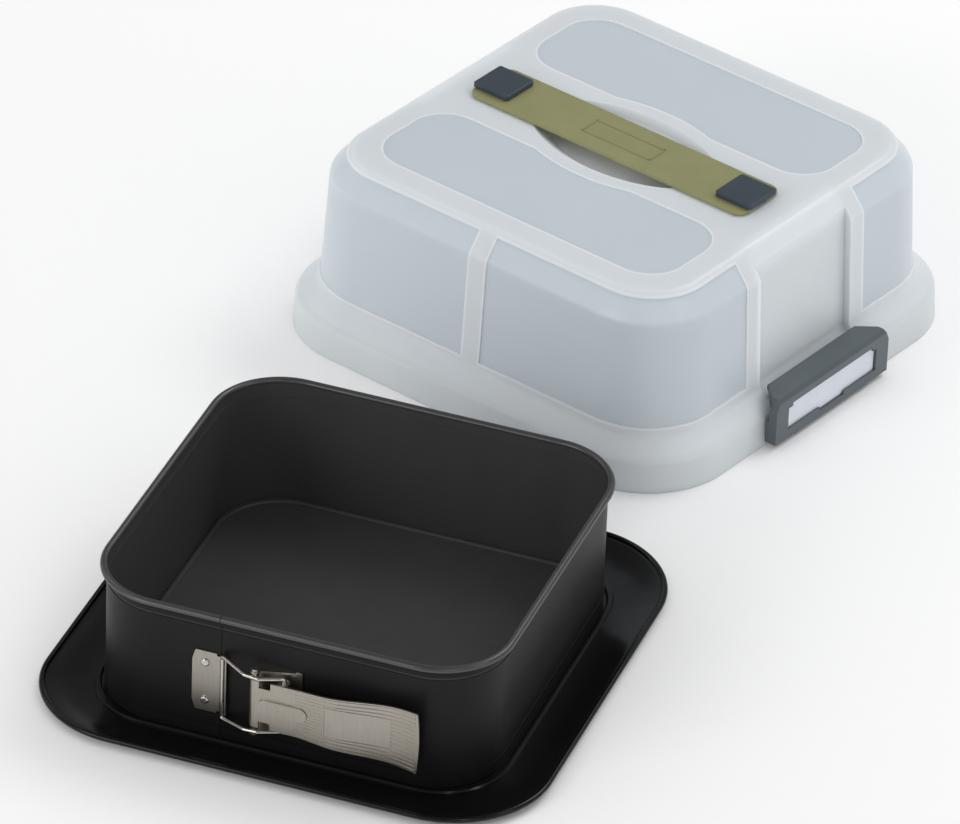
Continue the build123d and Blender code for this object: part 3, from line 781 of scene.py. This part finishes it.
def make_tent():
    """World that lights by height, looks white, and is mirrored dimly."""
    world = bpy.data.worlds.new("light_tent")
    bpy.context.scene.world = world
    world.use_nodes = True
    sky = world.node_tree
    backdrop = sky.nodes["Background"]
    backdrop.inputs["Color"].default_value = (1, 1, 1, 1)
    light_path = add_node(sky, "ShaderNodeLightPath")
    direction = add_node(sky, "ShaderNodeSeparateXYZ")
    sky.links.new(add_node(sky, "ShaderNodeTexCoord").outputs["Generated"], direction.inputs[0])
    glow = ramp(sky, direction.outputs["Z"], 0.0, 1.0, TENT_SIDE, TENT_TOP)
    dimming = ramp(sky, light_path.outputs["Is Glossy Ray"], 0.0, 1.0, 1.0, TENT_MIRRORED)
    seen = light_path.outputs["Is Camera Ray"]
    lit = maths(sky, "MULTIPLY", maths(sky, "MULTIPLY", glow, dimming), maths(sky, "SUBTRACT", 1.0, seen))
    sky.links.new(maths(sky, "ADD", lit, seen), backdrop.inputs["Strength"])
    return world


tent = make_tent()
print("world:", tent.name)

# %% [markdown]
# ## Lamps
# The tent alone looks flat. A soft lamp at the right rear models the edges, and a low one at the left front
# reaches into the pan. Three narrow strips are only seen by glossy surfaces: they draw highlights along
# bevels, beads and metal, as the strip lights of a product studio do, and add no light of their own.

# %% Soft lamps and strips
# Name, place, point it faces, size in metres, watts, and whether only highlights show it.
LAMPS = (
    ("rear_lamp", (0.9, 1.6, 2.1), (0.05, 0.2, 0.0), (1.5, 1.0), 18, False),
    ("front_lamp", (-1.3, -2.0, 1.2), (0.0, 0.1, 0.05), (1.4, 1.0), 16, False),
    ("right_strip", (1.9, -0.3, 1.4), (0.0, 0.1, 0.03), (0.25, 1.3), 4, True),
    ("front_strip", (1.3, -1.7, 1.6), (0.0, 0.1, 0.03), (0.2, 1.3), 4, True),
    ("left_strip", (-1.6, 0.4, 1.5), (0.0, 0.3, 0.08), (0.25, 1.4), 4, True),
)


def add_softbox(name, place, target, size, power, highlights_only):
    """Rectangular soft lamp that faces a point."""
    lamp = bpy.data.lights.new(name, "AREA")
    lamp.shape = "RECTANGLE"
    lamp.size = size[0]
    lamp.size_y = size[1]
    lamp.energy = power
    holder = bpy.data.objects.new(name, lamp)
    bpy.context.scene.collection.objects.link(holder)
    holder.location = place
    holder.rotation_euler = (Vector(target) - Vector(place)).to_track_quat("-Z", "Y").to_euler()
    holder.visible_diffuse = not highlights_only


for lamp_settings in LAMPS:
    add_softbox(*lamp_settings)
print(len(LAMPS), "lamps placed")

# %% [markdown]
# ## Skins for the hood and the tray
# The moulded hood has soft radii where its shoulder, walls and top meet, and the pressed tray has them at
# its beads. The CAD mesh has narrow facets there. More facets would only hide the steps, so a copy is
# merged into one surface instead, and its normals are weighted by face area. That lets the narrow facets
# turn the light like real radii.

# %% Smooth a copy of a CAD node
MERGE_DISTANCE = 2e-5
SKIN_ANGLE = 29
FACE_WEIGHT = 80


def select_object(piece):
    """Only this object selected and active."""
    bpy.ops.object.select_all(action="DESELECT")
    piece.select_set(True)
    bpy.context.view_layer.objects.active = piece


def even_normals(piece, angle):
    """Smooth shading whose normals follow the larger faces."""
    select_object(piece)
    bpy.ops.object.shade_smooth_by_angle(angle=math.radians(angle))
    weighted = piece.modifiers.new("even_light", "WEIGHTED_NORMAL")
    weighted.keep_sharp = True
    weighted.weight = FACE_WEIGHT
    bpy.ops.object.modifier_apply(modifier=weighted.name)


def make_skin(name, node_name, material, body, reshape=None):
    """Merged copy of a CAD node whose normals follow its larger faces."""
    source = nodes[node_name]
    skin = bpy.data.objects.new(name, source.data.copy())
    bpy.context.scene.collection.objects.link(skin)
    skin.data.transform(source.matrix_world)
    if reshape:
        reshape(skin)
    select_object(skin)
    bpy.ops.object.mode_set(mode="EDIT")
    bpy.ops.mesh.select_all(action="SELECT")
    bpy.ops.mesh.customdata_custom_splitnormals_clear()
    bpy.ops.mesh.remove_doubles(threshold=MERGE_DISTANCE)
    bpy.ops.mesh.dissolve_degenerate(threshold=MERGE_DISTANCE)
    bpy.ops.object.mode_set(mode="OBJECT")
    even_normals(skin, SKIN_ANGLE)
    skin.data.materials.clear()
    skin.data.materials.append(material)
    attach(skin, body)
    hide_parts(node_name)
    print(name, len(skin.data.polygons), "faces")


print("facets that meet at less than", SKIN_ANGLE, "degrees are shaded as one surface")

# %% [markdown]
# ## Straight channels in the hood's sides, and both skins
# In the side channels the real wall runs straight up under the top bevel, while the solid follows the
# hood's shoulder there. Cutting a new channel would leave seams. Moving the few points of the channel's
# upper edge keeps the surface whole, so the hood's copy is reshaped before it is merged. The tray's copy
# needs no new shape.

# %% Shape the hood's skin and make both
CHANNEL_EDGE = 0.0452
CHANNEL_STEP = 0.005
CHANNEL_ABOVE = 0.1
# Height and half width of the hood at the edges of its shoulder, from the lowest to the top.
LEDGE_BEVEL = ((0.1075, 0.1394), (0.1185, 0.1305), (0.121, 0.1278), (0.122, 0.1255))
# New half width and height of the channel's lowest edge.
CHANNEL_TOP = (0.1352, 0.1128)
HEIGHT_MATCH = 2e-4
WIDTH_MATCH = 3e-4


def straighten_channels(skin):
    """Moves the upper edge of the side channels up under the top bevel."""
    to_hood = hood_frame.inverted()
    moved = 0
    for vertex in skin.data.vertices:
        own = to_hood @ vertex.co
        if abs(own.y) > CHANNEL_EDGE or own.z < CHANNEL_ABOVE:
            continue
        for height, half in LEDGE_BEVEL:
            in_channel = abs(abs(own.x) - half + CHANNEL_STEP) < WIDTH_MATCH
            if in_channel and abs(own.z - height) < HEIGHT_MATCH:
                lowest = height == LEDGE_BEVEL[0][0]
                target = CHANNEL_TOP if lowest else (half, height)
                vertex.co = hood_frame @ Vector((math.copysign(target[0], own.x), own.y, target[1]))
                moved += 1
    print(moved, "edge points of the channels moved")


make_skin("hood_skin", "cover_shell", frosted, "cover", straighten_channels)
make_skin("tray_skin", "base_plate", tray_finish, "tray")

# %% [markdown]
# ## The carrying strap
# The strap is a flexible band. Its ends stay under the caps while a hand lifts its middle, so it bows. One
# piece can be blended between two bodies only in one direction, so the strap is two halves that meet in
# the middle. Each half is a block that is cut into short lengths, which lets it bend smoothly.

# %% Sizes, a block and short lengths
STRAP_HALF = 0.1057
STRAP_WIDE = 0.040
STRAP_THICK = 0.0024
STRAP_LOW = 0.1223
BEND_LENGTH = 0.004


def block(size, centre):
    """Box of the given size and centre."""
    bpy.ops.object.select_all(action="DESELECT")
    bpy.ops.mesh.primitive_cube_add(size=1, location=centre)
    piece = bpy.context.active_object
    piece.scale = size
    bpy.ops.object.transform_apply(location=True, rotation=True, scale=True)
    return piece


def cut_lengths(piece, start, end, step):
    """Cuts across the piece at even steps along X."""
    select_object(piece)
    bpy.ops.object.mode_set(mode="EDIT")
    count = int(round((end - start) / step))
    for index in range(1, count):
        bpy.ops.mesh.select_all(action="SELECT")
        bpy.ops.mesh.bisect(plane_co=(start + (end - start) * index / count, 0, 0), plane_no=(1, 0, 0))
    bpy.ops.object.mode_set(mode="OBJECT")


print("strap", round(2 * STRAP_HALF, 4), "m long in lengths of about", BEND_LENGTH, "m")

# %% [markdown]
# ## Rounding and softening the band
# The strap's end has round corners, and its edges are softened all round, except in the middle plane where
# the halves meet. A bevel by angle would soften that plane too and leave a groove. So the face there is
# taken out first and filled again afterwards. Edges and faces are picked in code, by their place.

# %% Pick, round, open and close
STRAP_CORNER = 0.007
CORNER_STEPS = 8
SAME_PLACE = 1e-6
NEAR_END = 1e-4


def select_parts(piece, kind, wanted):
    """Selects edges or faces by the places of their points, and leaves the piece in edit mode."""
    select_object(piece)
    bpy.ops.object.mode_set(mode="EDIT")
    bpy.ops.mesh.select_mode(type=kind)
    bpy.ops.mesh.select_all(action="DESELECT")
    bpy.ops.object.mode_set(mode="OBJECT")
    points = piece.data.vertices
    parts = piece.data.edges if kind == "EDGE" else piece.data.polygons
    for part in parts:
        part.select = wanted([points[index].co for index in part.vertices])
    bpy.ops.object.mode_set(mode="EDIT")


def stands_at_end(ends):
    """Whether an edge stands upright at the strap's end."""
    upright = abs(ends[0].x - ends[1].x) < SAME_PLACE and abs(ends[0].y - ends[1].y) < SAME_PLACE
    return upright and ends[0].x > STRAP_HALF - NEAR_END


def lies_in_middle(corners):
    """Whether a face lies in the strap's middle plane."""
    return all(abs(corner.x) < SAME_PLACE for corner in corners)


def round_end(piece):
    """Rounds the two upright edges at the strap's end."""
    select_parts(piece, "EDGE", stands_at_end)
    bpy.ops.mesh.bevel(offset=STRAP_CORNER, segments=CORNER_STEPS)
    bpy.ops.object.mode_set(mode="OBJECT")


def open_middle(piece):
    """Removes the face in the strap's middle plane, so its edges stay sharp."""
    select_parts(piece, "FACE", lies_in_middle)
    bpy.ops.mesh.delete(type="FACE")
    bpy.ops.mesh.select_mode(type="VERT")
    bpy.ops.object.mode_set(mode="OBJECT")


def close_middle(piece):
    """Fills the open middle plane again."""
    select_object(piece)
    bpy.ops.object.mode_set(mode="EDIT")
    bpy.ops.mesh.select_mode(type="EDGE")
    bpy.ops.mesh.select_all(action="DESELECT")
    bpy.ops.mesh.select_non_manifold()
    bpy.ops.mesh.edge_face_add()
    bpy.ops.mesh.select_mode(type="VERT")
    bpy.ops.object.mode_set(mode="OBJECT")


def apply_modifier(piece, kind, **settings):
    """Adds a modifier with its settings and applies it."""
    select_object(piece)
    modifier = piece.modifiers.new(kind.lower(), kind)
    for key, value in settings.items():
        setattr(modifier, key, value)
    bpy.ops.object.modifier_apply(modifier=modifier.name)


print("corner radius of the strap", STRAP_CORNER, "m")

# %% [markdown]
# ## The pressed frame on the strap
# A low frame is pressed on the strap's middle. It is real geometry, because its edge catches the light and
# shows in the outline of a close view. Thin bars that stand a little proud do it, cut into the same short
# lengths as the band, so that they bow with it.

# %% Bars of the frame
FIELD_HALF = 0.026
FIELD_WIDE = 0.015
RIDGE = 0.0011
RIDGE_RISE = 0.0004


def strap_ridges():
    """Low frame pressed on the strap's middle, one half of it."""
    high = STRAP_THICK / 4
    level = STRAP_LOW + STRAP_THICK + RIDGE_RISE - high / 2
    bars = [
        block((FIELD_HALF, RIDGE, high), (FIELD_HALF / 2, side * FIELD_WIDE / 2, level)) for side in (-1, 1)
    ]
    bars.append(block((RIDGE, FIELD_WIDE + RIDGE, high), (FIELD_HALF, 0, level)))
    for bar in bars:
        cut_lengths(bar, 0.0, FIELD_HALF, BEND_LENGTH)
    return bars


print("frame stands", RIDGE_RISE, "m proud")

# %% [markdown]
# ## Two halves of the strap
# Each end has an open slot, which slides on the stem of its cap when the strap bows. A boolean cuts it
# cleanly through the rounded end. Then the bars are joined on, and the half is turned to its side of the
# hood.

# %% Make both halves
SLOT_START = 0.0865
SLOT_WIDE = 0.0094
SLOT_PAST_END = 0.004
CUTTER_HIGH = 0.02
STRAP_EDGE = 0.0005
EDGE_STEPS = 3
STRAP_ANGLE = 50


def cut_slot(band):
    """Cuts the open slot at the strap's end."""
    length = STRAP_HALF - SLOT_START + SLOT_PAST_END
    cutter = block((length, SLOT_WIDE, CUTTER_HIGH), (SLOT_START + length / 2, 0, STRAP_LOW))
    apply_modifier(band, "BOOLEAN", operation="DIFFERENCE", object=cutter, solver="EXACT")
    bpy.data.objects.remove(cutter)


def soften_edges(band):
    """Softens the band's edges, except where the halves meet, and cuts it into lengths."""
    open_middle(band)
    apply_modifier(band, "BEVEL", width=STRAP_EDGE, segments=EDGE_STEPS, limit_method="ANGLE",
                   angle_limit=math.radians(STRAP_ANGLE))
    cut_lengths(band, 0.0, STRAP_HALF, BEND_LENGTH)
    close_middle(band)


def make_strap_half(name, side):
    """One half of the strap, from the middle to its slotted end."""
    band = block((STRAP_HALF, STRAP_WIDE, STRAP_THICK), (STRAP_HALF / 2, 0, STRAP_LOW + STRAP_THICK / 2))
    band.name = name
    round_end(band)
    cut_slot(band)
    soften_edges(band)
    print(name, "band", len(band.data.polygons), "faces")
    bars = strap_ridges()
    select_object(band)
    for bar in bars:
        bar.select_set(True)
    bpy.ops.object.join()
    turn = hood_frame @ Matrix.Rotation(0.0 if side > 0 else math.pi, 4, "Z")
    band.data.transform(turn)
    even_normals(band, STRAP_ANGLE)
    band.data.materials.clear()
    band.data.materials.append(olive_plastic)
    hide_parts("handle_strap")
    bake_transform(band)
    print(name, len(band.data.polygons), "faces")


make_strap_half("strap_right_half", 1)
make_strap_half("strap_left_half", -1)
